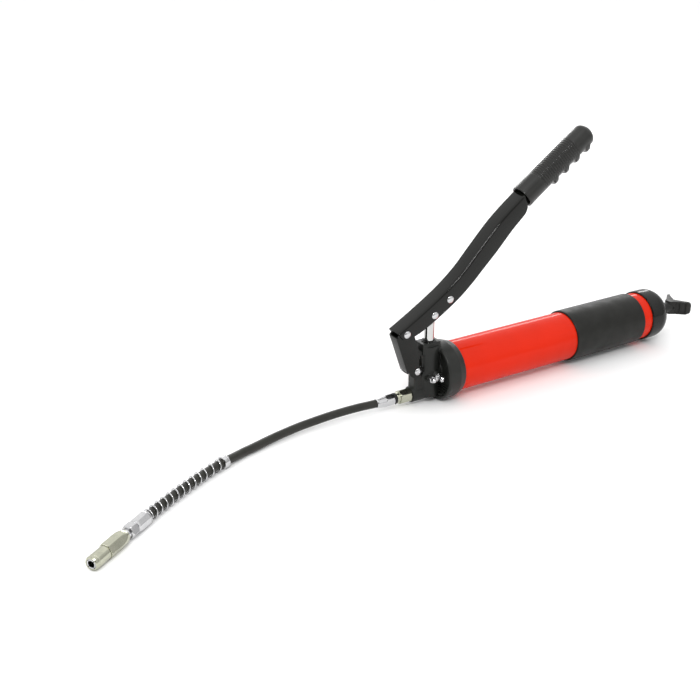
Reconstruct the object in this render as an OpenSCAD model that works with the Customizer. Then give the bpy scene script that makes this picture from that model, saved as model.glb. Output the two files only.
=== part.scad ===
// Hand lever grease gun with a whip hose, lying ready on a bench with its lever raised.
// Frame: +X from the head towards the end cap, +Z up, the bench is Z = 0.

/* [Reservoir] */
// Outside diameter of the grease barrel
barrel_d = 57; // [56.6:0.1:57.4]
// Wall thickness of the barrel
barrel_wall = 1.4; // [1.2:0.1:1.8]
// Barrel length from the head collar to the end cap
barrel_len = 284.5; // [280:0.5:288]
// Outside diameter of the rubber barrel grip
grip_sleeve_d = 61; // [60:0.5:62]
// Distance from the head collar to the barrel grip
grip_sleeve_x = 163; // [158:1:166]
// Length of the barrel grip
grip_sleeve_len = 108; // [100:1:110]
// Outside diameter of the end cap
cap_d = 61; // [60:0.5:62]

/* [Head] */
// Outside diameter of the head collar
collar_d = 66; // [65:0.5:68]
// Length of the head collar
collar_len = 24; // [23:1:26]
// Diameter of the pump cylinder boss
boss_d = 25; // [24:0.5:26]
// Diameter of the high pressure plunger
plunger_d = 12; // [11.8:0.1:12.2]
// Radial running clearance of pins and plunger
running_gap = 0.03; // [0.02:0.01:0.06]

/* [Lever] */
// Outside width of the pressed lever channel
lever_w = 21; // [20.6:0.1:21.4]
// Sheet thickness of the lever
lever_t = 1.8; // [1.6:0.1:1.8]
// Diameter of the lever grip
lever_grip_d = 26; // [25:0.5:27]
// Length of the lever grip
lever_grip_len = 109; // [106:1:114]
// Diameter of the linkage pins
pin_d = 6; // [5.8:0.1:6.2]

/* [Hose] */
// Outside diameter of the whip hose
hose_d = 9; // [8.8:0.1:9]
// Wire diameter of the spring guard
guard_wire_d = 1.4; // [1.2:0.1:1.5]
// Turns of the spring guard
guard_turns = 13; // [11:1:14]
// Distance across the flats of the coupler
coupler_af = 14; // [13.8:0.1:14]

/* [Hidden] */
$fn = 64;

// The collar's rear face stands at head_x, and the barrel axis at axis_h above the bench.
head_x = -131.25;
axis_h = collar_d / 2;
barrel_r = barrel_d / 2;
barrel_in_r = barrel_r - barrel_wall;

// Collar and web
web_t = 7;
gasket_t = 2;
recess_depth = 4;
recess_r = 29;
hub_r = 12.5;
collar_taper = 9;
spigot_len = web_t + 8;
edge = 0.8;
rib_t = 1.2;
rib_pitch = 3.4;

// Pump cylinder and outlet, measured from the collar's rear face and the barrel axis
plunger_x = -31;
boss_top = 34.5;
block_top = 38.5;
block_half = 8.4;
block_x = [-44, -20.5];
block_bottom = 26;
neck_half = 7.5;
rib_top = 30;
boss_bottom = -25.5;
bore_bottom = -14;
packing_z = 24.5;
packing_r = 7.5;
gland_z = 30;
plunger_bottom = 9;
inlet_z = 4;
outlet_z = -21;
nose_x = -55.5;
nose_r = 9;
lug_x = -53;
seat_x = -38;
adapter_in_x = -47;
adapter_hex_len = 14.5;
washer_x = -74;
washer_t = 3;
head_ferrule_len = 22;
bore_r = plunger_d / 2 + running_gap;
inlet_r = 3.5;
gallery_r = 2;
ball_seat_bore = 3.7;
ball_r = 2.8;
adapter_r = 5.2;
stub_r = 3.5;
passage_r = 1.6;
lug_r = 7.5;

// Linkage pivots in the X-Z plane
head_pivot = [-50, 8.5];
link_pivot = [-66.5, 56.5];
plunger_pivot = [plunger_x, 71];
rivet_point = [-11.5, 85.5];
// The plunger's eye: how far its pin wanders along X, its mean height and the play around it
slot_x = [-1.8, 0.3];
slot_z = -0.3;
slot_gap = 0.7;
eye_r = 6;
eye_half = 5;
pin_r = pin_d / 2;
rivet_head_r = 4.3;
rivet_head_t = 1.7;
lever_half = lever_w / 2;
lever_in = lever_half - lever_t;
link_half = lever_in - 0.4;
link_t = 2.1;
lug_half = link_half - link_t - 0.2;
link_len = norm(link_pivot - head_pivot);
link_tilt = atan2(link_pivot[1] - head_pivot[1], link_pivot[0] - head_pivot[0]);
link_front = 12.2;
link_back = 8.6;

// Lever grip: where it starts and how steeply it rises
grip_start = [88, 181.5];
grip_tilt = 35.2;
grip_r = lever_grip_d / 2;
grip_dome = 9;
stop_r = 5.6;
stop_pitch = 17.4;
tang_half = 8;
tang_low = 6.8;
tang_len = 66;

// End cap and pull handle
cap_r = cap_d / 2;
cap_end = barrel_len + 37;
cap_wall = 2;
cap_hole_r = 6;
cap_skirt = 15;
barrel_in_cap = 5;
rod_r = 3.5;
rod_bore_r = rod_r + running_gap;
handle_x = cap_end + 16;
handle_pin_at = [handle_x + 5, 0];
handle_pin_r = 1.5;
wing_h = 17;
wing_span = 19.2;
wing_corner = 4;
follower_x = 5;
cup_len = 10;
disc_r = 25;
disc_t = 1.6;
spring_x0 = follower_x + cup_len + disc_t;
spring_x1 = barrel_len + 28;

// Fittings on the near side of the pump cylinder
nipple_at = [-28, 0];
bleeder_at = [-36.5, -1];
fitting_seat = 13.5;
fitting_hex_h = 4.5;
nipple_thread_r = 3;
bleeder_thread_r = 2.5;
bleeder_rod_r = 1.2;

// Hose route from the head ferrule to its end inside the coupler's ferrule: X from the collar, Z from the bench
hose_r = hose_d / 2;
lay = [
    [-88.4, 0, 12], [-101.4, 0.3, 12], [-117.9, 2, 12], [-135.9, 3.5, 11.3], [-153.9, 4.5, 10.3],
    [-171.9, 4.5, 9.2], [-190.9, 4, 8], [-209.4, 2, 6.9], [-228.4, -1, 5.9], [-248.4, -6, 5.3],
    [-262.4, -9.5, 5.3], [-275.4, -14, 5.6], [-287.4, -18.5, 6.4], [-299.9, -23.8, 6.9], [-316.9, -31.5, 7],
    [-330.4, -38.2, 7], [-343.9, -45.2, 7], [-356.9, -52.2, 7], [-369.9, -59.6, 7], [-381.9, -66.6, 7],
    [-392.8, -73.6, 7], [-401.2, -79.1, 7]
];
route = [for (p = lay) p + [head_x, 0, 0]];
last = len(route) - 1;
coupler_turn = atan2(route[last][1] - route[last - 1][1], route[last][0] - route[last - 1][0]);
ferrule_grip_len = 10;
guard_start = 12.45;
guard_end = 19.9;
guard_r = hose_r + 0.5 + guard_wire_d / 2;

// Coupler train along its own axis, from the rear face of its ferrule
ferrule_af = 13.6;
coupler_ferrule_len = 20;
coupler_nut_len = 10;
coupler_neck_len = 3.5;
coupler_x = coupler_ferrule_len + coupler_nut_len + coupler_neck_len;
coupler_cone_len = 11;
coupler_r = coupler_af / 2 / cos(30) - 0.1;
coupler_hex_len = 17.5;
coupler_split = coupler_x + coupler_cone_len + coupler_hex_len;
coupler_sleeve_len = 19.5;
coupler_end = coupler_split + coupler_sleeve_len;
sleeve_r = 6.8;
mouth_r = 3.4;
neck_r = 4.8;
socket_r = 5.6;
chamber_r = 4;
chamber_x = coupler_x + 12;

// ---------- shared shapes ----------

// Gun frame: X from the collar's rear face, Z from the barrel axis
module gun() translate([head_x, 0, axis_h]) children();

// Solid of revolution about X from [radius, x] points
module turned_x(profile) rotate([0, 90, 0]) rotate_extrude() polygon(profile);

// Flat plate in the X-Z plane between two values of Y
module plate_xz(y0, y1) translate([0, y1, 0]) rotate([90, 0, 0]) linear_extrude(y1 - y0) children();

// Cylinder along Y through a point of the X-Z plane
module pin_y(at, r, y0, y1) translate([at[0], y0, at[1]]) rotate([-90, 0, 0]) cylinder(r = r, h = y1 - y0);

function arc(c, r, a0, a1, n) =
    [for (i = [0:n]) let (a = a0 + (a1 - a0) * i / n) c + r * [cos(a), sin(a)]];

// Smooth curve through points, Catmull-Rom, n steps to a span
function spline_at(p, i, t) =
    let (a = p[max(i - 1, 0)], b = p[i], c = p[i + 1], d = p[min(i + 2, len(p) - 1)])
    b + t * ((c - a) / 2 + t * ((2 * a - 5 * b + 4 * c - d) / 2 + t * (3 * b - a - 3 * c + d) / 2));
function smooth(p, n) = concat(
    [for (i = [0:len(p) - 2], k = [0:n - 1]) spline_at(p, i, k / n)], [p[len(p) - 1]]);

function unit(v) = v / norm(v);
function tangent(p, i) = unit(p[min(i + 1, len(p) - 1)] - p[max(i - 1, 0)]);

// Tube of round section swept along 3-D points, its sides kept level
module swept(p, r, sides) {
    ring = [for (i = [0:len(p) - 1])
        let (t = tangent(p, i), side = unit(cross([0, 0, 1], t)), up = cross(t, side))
        for (k = [0:sides - 1]) p[i] + r * (cos(360 * k / sides) * side + sin(360 * k / sides) * up)];
    rows = len(p);
    faces = concat(
        [[for (k = [0:sides - 1]) k]],
        [for (i = [0:rows - 2], k = [0:sides - 1]) let (j = (k + 1) % sides)
            each [[i * sides + k, (i + 1) * sides + k, (i + 1) * sides + j],
                [i * sides + k, (i + 1) * sides + j, i * sides + j]]],
        [[for (k = [sides - 1:-1:0]) (rows - 1) * sides + k]]);
    polyhedron(ring, faces, convexity = 10);
}

// Coil spring along Z from 0 to h, its wire a swept ring of six sides
module coil(r, wire_r, h, turns, steps) {
    n = turns * steps;
    sides = 6;
    rise = (h - 2 * wire_r) / n;
    points = [for (i = [0:n]) let (a = 360 * i / steps)
        for (k = [0:sides - 1]) let (b = 360 * k / sides)
            [(r + wire_r * cos(b)) * cos(a), (r + wire_r * cos(b)) * sin(a),
             wire_r + rise * i + wire_r * sin(b)]];
    faces = concat(
        [[for (k = [0:sides - 1]) k]],
        [for (i = [0:n - 1], k = [0:sides - 1]) let (j = (k + 1) % sides)
            each [[i * sides + k, (i + 1) * sides + k, (i + 1) * sides + j],
                [i * sides + k, (i + 1) * sides + j, i * sides + j]]],
        [[for (k = [sides - 1:-1:0]) n * sides + k]]);
    polyhedron(points, faces, convexity = 10);
}

// Hexagonal prism along Z by its distance across the flats
module hex(af, h) cylinder(d = af / cos(30), h = h, $fn = 6);

// Domed rivet heads on a pin along Y
module rivet(at, shank_r, half, head_gap) {
    pin_y(at, shank_r, -half - head_gap, half + head_gap);
    for (side = [-1, 1])
        translate([at[0], side * (half + head_gap), at[1]]) rotate([-90 * side, 0, 0])
            rotate_extrude() polygon(concat([[0, 0]],
                [for (i = [0:8]) let (a = 90 * i / 8) [rivet_head_r * cos(a), rivet_head_t * sin(a)]]));
}

// ---------- reservoir ----------

module barrel() color("#e83414") gun()
    turned_x([[barrel_in_r, -spigot_len], [barrel_r, -spigot_len],
        [barrel_r, barrel_len + barrel_in_cap], [barrel_in_r, barrel_len + barrel_in_cap]]);

module head_gasket() color("#202020") gun()
    turned_x([[barrel_in_r - 3, -spigot_len - gasket_t], [barrel_r, -spigot_len - gasket_t],
        [barrel_r, -spigot_len], [barrel_in_r - 3, -spigot_len]]);

module barrel_grip() color("#2b2b29") gun()
    turned_x([[barrel_r, grip_sleeve_x], [grip_sleeve_d / 2 - 0.5, grip_sleeve_x],
        [grip_sleeve_d / 2, grip_sleeve_x + 0.5],
        [grip_sleeve_d / 2, grip_sleeve_x + grip_sleeve_len - 0.5],
        [grip_sleeve_d / 2 - 0.5, grip_sleeve_x + grip_sleeve_len],
        [barrel_r, grip_sleeve_x + grip_sleeve_len]]);

// The cap's dome is a quarter ellipse from its skirt to the rod boss
module end_cap() {
    skirt = barrel_len + cap_skirt;
    dome = cap_end - skirt;
    outer = [for (i = [0:12]) let (a = 76 * i / 12) [cap_r * cos(a), skirt + dome * sin(a) / sin(76)]];
    inner = [for (i = [12:-1:0]) let (a = 74 * i / 12)
        [(cap_r - cap_wall) * cos(a), skirt + (dome - cap_wall) * sin(a) / sin(74)]];
    color("#2b2c2a") gun()
        turned_x(concat([[barrel_r, barrel_len], [cap_r - edge, barrel_len], [cap_r, barrel_len + edge]],
            outer, [[cap_hole_r, cap_end], [cap_hole_r, cap_end - cap_wall]],
            inner, [[cap_r - cap_wall, barrel_len + barrel_in_cap], [barrel_r, barrel_len + barrel_in_cap]]));
}

module rod_bushing() color("#b8a060") gun()
    turned_x([[rod_bore_r, cap_end - 6], [8, cap_end - 6], [8, cap_end - cap_wall],
        [cap_hole_r, cap_end - cap_wall], [cap_hole_r, cap_end + 0.5], [rod_bore_r, cap_end + 0.5]]);

// ---------- follower and pull rod ----------

module follower_cup() color("#3a3a3a") gun()
    turned_x([[rod_bore_r, follower_x], [24, follower_x], [barrel_in_r - 0.06, follower_x - 3],
        [barrel_in_r - 0.06, follower_x + 4], [23, follower_x + 6], [22, follower_x + cup_len],
        [rod_bore_r, follower_x + cup_len]]);

module follower_plate() color("#a8a8a8") gun()
    turned_x([[rod_bore_r, follower_x + cup_len], [disc_r, follower_x + cup_len],
        [disc_r, spring_x0], [rod_bore_r, spring_x0]]);

module follower_nut() color("#c8c8c8") gun()
    translate([spring_x0, 0, 0]) rotate([0, 90, 0])
        difference() {
            hex(17, 6);
            translate([0, 0, -1]) cylinder(r = rod_bore_r, h = 8);
        }

module follower_spring() color("#909090") gun()
    translate([spring_x0, 0, 0]) rotate([0, 90, 0])
        coil(21, 1.3, spring_x1 - spring_x0, 11, 20);

// The rod's front collar pulls on the follower, its rear end is cross drilled for the handle
module follower_rod() color("#d0d0d0") gun()
    difference() {
        turned_x([[0, follower_x - 3], [5.5, follower_x - 3], [5.5, follower_x - 0.1],
            [rod_r, follower_x - 0.1], [rod_r, handle_x + 9], [rod_r - 0.6, handle_x + 10],
            [0, handle_x + 10]]);
        pin_y(handle_pin_at, handle_pin_r, -6, 6);
    }

// Two swept-back wings on a hub with a neck, each hollowed in two pockets on its front side
module rod_handle() color("#262725") gun() difference() {
    union() {
        translate([cap_end + 3, 0, 0]) rotate([0, 90, 0]) cylinder(r = 6.5, h = 28);
        intersection() {
            for (side = [-1, 1])
                wing(side, wing_h)
                    polygon([[1, 0], [1, 4], [8, 8], [18.6, 17.8], [21, 19.2], [24, 19.2], [17.5, 10], [12, 0]]);
            wing_ends();
        }
    }
    translate([cap_end + 2, 0, 0]) rotate([0, 90, 0]) cylinder(r = rod_r, h = 27);
    for (side = [-1, 1]) {
        wing(side, wing_h - 4) polygon([[6.2, 8.6], [10.5, 12.6], [12.9, 10.1], [8.6, 6]]);
        wing(side, wing_h - 4) polygon([[11.6, 13.7], [16.2, 17.9], [18.4, 15.4], [13.9, 11.1]]);
    }
    pin_y(handle_pin_at, handle_pin_r, -9, 9);
}

// Rounds the four outer corners of the two wings, as seen along the rod
module wing_ends() {
    straight = wing_span - wing_corner;
    level = wing_h / 2 - wing_corner;
    translate([handle_x, -straight, -wing_h / 2]) cube([30, 2 * straight, wing_h]);
    translate([handle_x, -wing_span, -level]) cube([30, 2 * wing_span, 2 * level]);
    for (y = [-straight, straight], z = [-level, level])
        translate([handle_x, y, z]) rotate([0, 90, 0]) cylinder(r = wing_corner, h = 30);
}

// Upright prism of height h over a plan outline, mirrored to one side of the rod
module wing(side, h) translate([handle_x, 0, -h / 2])
    mirror([0, side < 0 ? 1 : 0, 0]) linear_extrude(h) children();

module handle_pin() color("#d0d0d0") gun() pin_y(handle_pin_at, handle_pin_r, -6, 6);

// ---------- head and pump cylinder ----------

module pump_head() color("#2e302d") gun()
    difference() {
        union() {
            turned_x([[0, -collar_len], [hub_r, -collar_len], [hub_r, recess_depth - collar_len],
                [recess_r, recess_depth - collar_len], [recess_r, edge - collar_len],
                [recess_r + edge, -collar_len], [collar_d / 2 - 1.2, -collar_len],
                [collar_d / 2, -collar_len + 1.2], [collar_d / 2, -collar_taper],
                [barrel_r + 1.3, 0], [barrel_r, 0], [barrel_r, -spigot_len - gasket_t], [0, -spigot_len - gasket_t]]);
            translate([plunger_x, 0, boss_bottom]) cylinder(d = boss_d, h = boss_top - boss_bottom);
            recess_ribs();
            translate([plunger_x, -neck_half, -24])
                cube([recess_depth + 0.5 - collar_len - plunger_x, 2 * neck_half, 53]);
            translate([block_x[0], -block_half, block_bottom])
                cube([block_x[1] - block_x[0], 2 * block_half, block_top - block_bottom]);
            translate([nose_x, 0, outlet_z]) rotate([0, 90, 0]) cylinder(r = nose_r, h = plunger_x - nose_x);
            translate([lug_x, -lug_half, outlet_z])
                cube([plunger_x - lug_x, 2 * lug_half, rib_top - outlet_z]);
            pin_y(head_pivot, lug_r, -lug_half, lug_half);
            pin_y(nipple_at, 5.2, -fitting_seat, -6);
            pin_y(bleeder_at, 4.2, -fitting_seat, -6);
        }
        translate([plunger_x, 0, bore_bottom]) cylinder(r = bore_r, h = 80);
        translate([plunger_x, 0, packing_z]) cylinder(r = packing_r, h = 40);
        translate([plunger_x, 0, outlet_z]) cylinder(r = gallery_r, h = 10);
        translate([seat_x, 0, outlet_z]) rotate([0, 90, 0]) cylinder(r = gallery_r, h = plunger_x - seat_x);
        translate([adapter_in_x, 0, outlet_z]) rotate([0, 90, 0])
            cylinder(r = ball_seat_bore, h = seat_x - adapter_in_x);
        translate([nose_x - 1, 0, outlet_z]) rotate([0, 90, 0])
            cylinder(r = adapter_r, h = adapter_in_x - nose_x + 1);
        translate([plunger_x, 0, inlet_z]) rotate([0, 90, 0]) cylinder(r = inlet_r, h = 40);
        pin_y(head_pivot, pin_r, -20, 20);
        pin_y(nipple_at, nipple_thread_r, -20, -7.2);
        translate([nipple_at[0], -8, nipple_at[1]]) rotate([0, 90, 0]) cylinder(r = 1, h = 20);
        pin_y(bleeder_at, bleeder_thread_r, -20, -8);
        pin_y(bleeder_at, 0.9, -10, 0);
    }

// Stiffening ribs across the lower part of the collar's recess
module recess_ribs() intersection() {
    for (i = [0:3]) translate([recess_depth - collar_len - 2.4, -recess_r, -11 - rib_pitch * i])
        cube([3, 2 * recess_r, rib_t]);
    rotate([0, -90, 0]) cylinder(r = recess_r + 1, h = collar_len);
}

module plunger_packing() color("#8a6a40") gun()
    translate([plunger_x, 0, packing_z]) difference() {
        cylinder(r = packing_r, h = gland_z - packing_z);
        translate([0, 0, -1]) cylinder(r = bore_r, h = 20);
    }

module gland_ring() color("#343634") gun()
    translate([plunger_x, 0, gland_z]) difference() {
        union() {
            cylinder(r = packing_r, h = block_top - gland_z);
            translate([0, 0, block_top - gland_z]) cylinder(r = block_half - 0.3, h = 0.8);
        }
        translate([0, 0, -1]) cylinder(r = bore_r, h = 20);
    }

// The eye is slotted, so that the pin can follow the lever's arc while the plunger stays upright
module plunger() color("#c9cbc6") gun()
    difference() {
        union() {
            translate([plunger_x, 0, plunger_bottom]) cylinder(d = plunger_d, h = 53);
            plate_xz(-eye_half, eye_half) polygon(concat(
                arc(plunger_pivot + [2, 0.5], eye_r, 90, -60, 10),
                [plunger_pivot + [3.2, -10], plunger_pivot + [-3.2, -10]],
                arc(plunger_pivot + [-3.4, 0.5], eye_r, 240, 90, 10)));
        }
        for (dx = slot_x)
            pin_y(plunger_pivot + [dx, slot_z], pin_r + slot_gap, -9, 9);
        translate([plunger_pivot[0] + slot_x[0], -9, plunger_pivot[1] + slot_z - pin_r - slot_gap])
            cube([slot_x[1] - slot_x[0], 18, 2 * (pin_r + slot_gap)]);
    }

// ---------- linkage ----------

// Link frame: local X runs from the head pivot to the lever pivot, local Y backwards
module link_plate(y0, y1)
    translate([head_pivot[0], 0, head_pivot[1]]) rotate([0, -link_tilt, 0]) plate_xz(y0, y1) children();

module link() {
    top = link_len + 1;
    outline = concat(
        [[0, link_front], [top, link_front], [link_len + 3.6, 6]],
        arc([link_len, 0], 5.7, 60, -75, 12),
        [[link_len - 8, -link_back], [12, -link_back]],
        arc([0, 0], 7.4, -60, -180, 12), [[-6.5, 6]]);
    color("#333532") gun() difference() {
        union() {
            for (side = [-1, 1])
                link_plate(side > 0 ? link_half - link_t : -link_half, side > 0 ? link_half : link_t - link_half)
                    polygon(outline);
            link_plate(-link_half, link_half)
                polygon([[10, link_front - link_t], [top, link_front - link_t], [top, link_front],
                    [10, link_front]]);
            link_plate(-4, 4)
                polygon([[0, link_front - link_t], [11, link_front - link_t], [11, link_front], [0, link_front]]);
        }
        pin_y(head_pivot, pin_r + running_gap, -20, 20);
        pin_y(link_pivot, pin_r + running_gap, -20, 20);
    }
}

module head_pin() color("#d8d8d8") gun() rivet(head_pivot, pin_r, link_half, 0.15);

// Lever side outline: the top edge from the nose to the grip, and the lower edge back again
lever_top = smooth([[-77.8, 59.4], [-48, 76.5], [-18, 95.5], [5, 114], [24, 133.8], [45.5, 156],
    [62, 170.5], [83.5, 186.9]], 5);
lever_low = smooth([[89, 173], [80.5, 161.5], [68.5, 149.7], [49.3, 129.6], [31.2, 112.2],
    [15.4, 97.1], [-3.8, 81.8], [-32.6, 63.8], [-50, 55]], 4);
function normal_2d(p, i) = let (t = tangent(p, i)) [t[1], -t[0]];
lever_under = [for (i = [len(lever_top) - 1:-1:0]) lever_top[i] + lever_t * normal_2d(lever_top, i)];

module lever() color("#30322f") gun() difference() {
    union() {
        for (side = [-1, 1])
            plate_xz(side > 0 ? lever_in : -lever_half, side > 0 ? lever_half : -lever_in)
                polygon(concat(lever_top, lever_low, arc(link_pivot, 7, -62, -150, 6)));
        plate_xz(-lever_half, lever_half) polygon(concat(lever_top, lever_under));
        translate([grip_start[0], 0, grip_start[1]]) rotate([0, -grip_tilt, 0])
            difference() {
                translate([-6, -tang_half, -tang_low]) cube([tang_len, 2 * tang_half, 2 * tang_low]);
                translate([-8, lever_t - tang_half, lever_t - tang_low])
                    cube([tang_len + 14, 2 * (tang_half - lever_t), 2 * (tang_low - lever_t)]);
            }
    }
    for (at = [link_pivot, plunger_pivot, rivet_point]) pin_y(at, pin_r, -20, 20);
}

module link_pin() color("#d8d8d8") gun() rivet(link_pivot, pin_r, lever_half, 0);
module plunger_pin() color("#d8d8d8") gun() rivet(plunger_pivot, pin_r, lever_half, 0);
module lever_rivet() color("#d8d8d8") gun() rivet(rivet_point, pin_r, lever_half, 0);

module lever_spacer() color("#b0b0b0") gun() difference() {
    pin_y(rivet_point, pin_r + 2, -lever_in, lever_in);
    pin_y(rivet_point, pin_r, -lever_in - 1, lever_in + 1);
}

// Moulded grip with a rim, a domed end and four finger stops underneath
module lever_grip() color("#232423") gun()
    translate([grip_start[0], 0, grip_start[1]]) rotate([0, -grip_tilt, 0]) difference() {
        union() {
            turned_x(concat([[0, 0], [grip_r, 0], [grip_r + 0.6, 1], [grip_r + 0.6, 4],
                [grip_r - 0.4, 6], [grip_r, 30], [grip_r, lever_grip_len - grip_dome]],
                [for (i = [1:8]) let (a = 90 * i / 8)
                    [grip_r * cos(a), lever_grip_len + grip_dome * (sin(a) - 1)]]));
            for (i = [0:3]) translate([41.5 + stop_pitch * i, 0, 1 - grip_r]) sphere(r = stop_r);
        }
        translate([-1, -tang_half, -tang_low]) cube([tang_len - 4, 2 * tang_half, 2 * tang_low]);
    }

// ---------- outlet ----------

module outlet_adapter() color("#b9bba5") gun() translate([nose_x, 0, outlet_z]) rotate([0, -90, 0])
    difference() {
        union() {
            translate([0, 0, nose_x - adapter_in_x]) cylinder(r = adapter_r, h = adapter_in_x - nose_x + 1);
            hex(14.5, adapter_hex_len);
            cylinder(r = 6.2, h = nose_x - washer_x);
        }
        translate([0, 0, nose_x - adapter_in_x - 1]) cylinder(r = gallery_r, h = 40);
        translate([0, 0, 8]) cylinder(r = stub_r, h = 20);
    }

module check_ball() color("#d0d0d0") gun() translate([seat_x - 2.02, 0, outlet_z]) sphere(r = ball_r);

module check_spring() color("#a0a0a0") gun()
    translate([seat_x - 4.9, 0, outlet_z]) rotate([0, -90, 0])
        coil(2.3, 0.3, seat_x - 4.9 - adapter_in_x, 3, 14);

// ---------- filler nipple and air bleeder ----------

module filler_nipple() color("#dcdcdc") gun()
    translate([nipple_at[0], -fitting_seat, nipple_at[1]]) rotate([90, 0, 0]) difference() {
        union() {
            translate([0, 0, -6.3]) cylinder(r = nipple_thread_r, h = 7);
            rotate([0, 0, 30]) hex(9.5, fitting_hex_h);
            rotate_extrude() polygon([[0, 3], [2.6, 3], [2.6, 6.5], [2.3, 7.2], [3.25, 9], [3.25, 11],
                [1.7, 12.6], [0, 12.6]]);
        }
        translate([0, 0, -7]) cylinder(r = 1.4, h = 17.5);
        translate([0, 0, 10]) cylinder(r = 0.8, h = 4);
    }

module filler_ball() color("#c0c0c0") gun()
    translate([nipple_at[0], -fitting_seat - 9.3, nipple_at[1]]) sphere(r = 1.2);

module bleeder_body() color("#dcdcdc") gun()
    translate([bleeder_at[0], -fitting_seat, bleeder_at[1]]) rotate([90, 0, 0]) difference() {
        union() {
            translate([0, 0, -5.5]) cylinder(r = bleeder_thread_r, h = 6);
            rotate([0, 0, 30]) hex(7, fitting_hex_h);
        }
        translate([0, 0, -6]) cylinder(r = bleeder_rod_r + running_gap, h = 12);
    }

module bleeder_pin() color("#e4e4e4") gun()
    translate([bleeder_at[0], -fitting_seat, bleeder_at[1]]) rotate([90, 0, 0])
        rotate_extrude() polygon([[0, -4], [bleeder_rod_r, -4], [bleeder_rod_r, 6], [2.6, 6], [2.6, 7.4], [1.8, 8.3], [0, 8.5]]);

// ---------- hose and its fittings ----------

module seal_washer() color("#30302c") gun() translate([washer_x, 0, outlet_z])
    rotate([0, -90, 0]) difference() {
        cylinder(r = 6.4, h = washer_t);
        translate([0, 0, -1]) cylinder(r = stub_r, h = washer_t + 2);
    }

// Hexagon with a threaded stub towards the head and a tapered shell crimped over the hose
module head_ferrule() color("#dedee2") gun() translate([washer_x - washer_t, 0, outlet_z])
    rotate([0, -90, 0]) difference() {
        union() {
            translate([0, 0, -10]) cylinder(r = stub_r, h = 11);
            hex(12.5, 11);
            rotate_extrude() polygon([[0, 10], [6.6, 10], [6.5, 12], [5.2, head_ferrule_len],
                [0, head_ferrule_len]]);
        }
        translate([0, 0, -11]) cylinder(r = passage_r, h = 30);
        translate([0, 0, head_ferrule_len - 11]) cylinder(r = hose_r, h = 12);
    }

module hose() color("#2a2a28") swept(route, hose_r, 12);

// Point and direction along the smoothed hose route, as a share of its length
fine_route = smooth(route, 6);
function route_at(u) = let (i = min(floor(u), len(fine_route) - 2)) fine_route[i]
    + (u - i) * (fine_route[i + 1] - fine_route[i]);
function route_dir(u) = unit(route_at(min(u + 1, len(fine_route) - 1)) - route_at(max(u - 1, 0)));

module spring_guard() {
    steps = 14;
    n = guard_turns * steps;
    sides = 6;
    u0 = guard_start * 6;
    u1 = guard_end * 6;
    path = [for (i = [0:n]) let (u = u0 + (u1 - u0) * i / n, t = route_dir(u),
        side = unit(cross([0, 0, 1], t)), up = cross(t, side), a = 360 * i / steps)
        route_at(u) + guard_r * (cos(a) * side - sin(a) * up)];
    points = [for (i = [0:n]) let (u = u0 + (u1 - u0) * i / n, t = tangent(path, i),
        outward = unit(path[i] - route_at(u)), rise = unit(cross(t, outward)))
        for (k = [0:sides - 1]) let (b = 360 * k / sides)
            path[i] + guard_wire_d / 2 * (cos(b) * outward + sin(b) * rise)];
    faces = concat(
        [[for (k = [sides - 1:-1:0]) k]],
        [for (i = [0:n - 1], k = [0:sides - 1]) let (j = (k + 1) % sides)
            each [[i * sides + j, (i + 1) * sides + j, (i + 1) * sides + k],
                [i * sides + j, (i + 1) * sides + k, i * sides + k]]],
        [[for (k = [0:sides - 1]) n * sides + k]]);
    color("#d4d4d8") polyhedron(points, faces, convexity = 10);
}

// Ring that holds the guard's first turn on the hose
module spring_collar() {
    t = route_dir(guard_start * 6);
    color("#dcdce0") translate(route_at(guard_start * 6)) rotate([0, 0, atan2(t[1], t[0])])
        rotate([0, 90, 0]) difference() {
            translate([0, 0, -6]) cylinder(r = 6.7, h = 7);
            translate([0, 0, -7]) cylinder(r = hose_r + 0.15, h = 9);
        }
}

// Coupler frame: local Z along the coupler's axis from the rear face of its ferrule
module coupler_frame() translate(route[last]) rotate([0, 0, coupler_turn]) rotate([0, 90, 0])
    translate([0, 0, -ferrule_grip_len]) children();

module coupler_ferrule() color("#dcdce0") coupler_frame() difference() {
    union() {
        translate([0, 0, 1]) rotate([0, 0, 22.5])
            cylinder(d = ferrule_af / cos(22.5), h = coupler_ferrule_len - 2, $fn = 8);
        cylinder(r = 6.4, h = coupler_ferrule_len);
    }
    translate([0, 0, -1]) cylinder(r = hose_r, h = ferrule_grip_len + 1);
    cylinder(r = 2.5, h = coupler_ferrule_len + 1);
}

module coupler_nut() color("#d4d4d8") coupler_frame() translate([0, 0, coupler_ferrule_len])
    difference() {
        union() {
            rotate([0, 0, 30]) hex(13, coupler_nut_len - 1);
            cylinder(r = 6, h = coupler_nut_len);
            cylinder(r = neck_r, h = coupler_nut_len + coupler_neck_len + 8);
        }
        translate([0, 0, -1]) cylinder(r = passage_r, h = 40);
    }

module coupler_body() color("#b9bba5") coupler_frame() difference() {
    union() {
        intersection() {
            translate([0, 0, coupler_x]) rotate([0, 0, 30]) hex(coupler_af, coupler_split - coupler_x);
            rotate_extrude() polygon([[0, coupler_x], [6, coupler_x], [coupler_r, coupler_x + coupler_cone_len],
                [coupler_r, coupler_split - 0.6], [coupler_r - 0.6, coupler_split], [0, coupler_split]]);
        }
        translate([0, 0, coupler_split - 1]) cylinder(r = socket_r, h = 8);
    }
    translate([0, 0, coupler_x - 1]) cylinder(r = neck_r, h = 9);
    translate([0, 0, coupler_x]) cylinder(r = passage_r, h = 20);
    translate([0, 0, chamber_x]) cylinder(r = chamber_r, h = 40);
}

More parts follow.
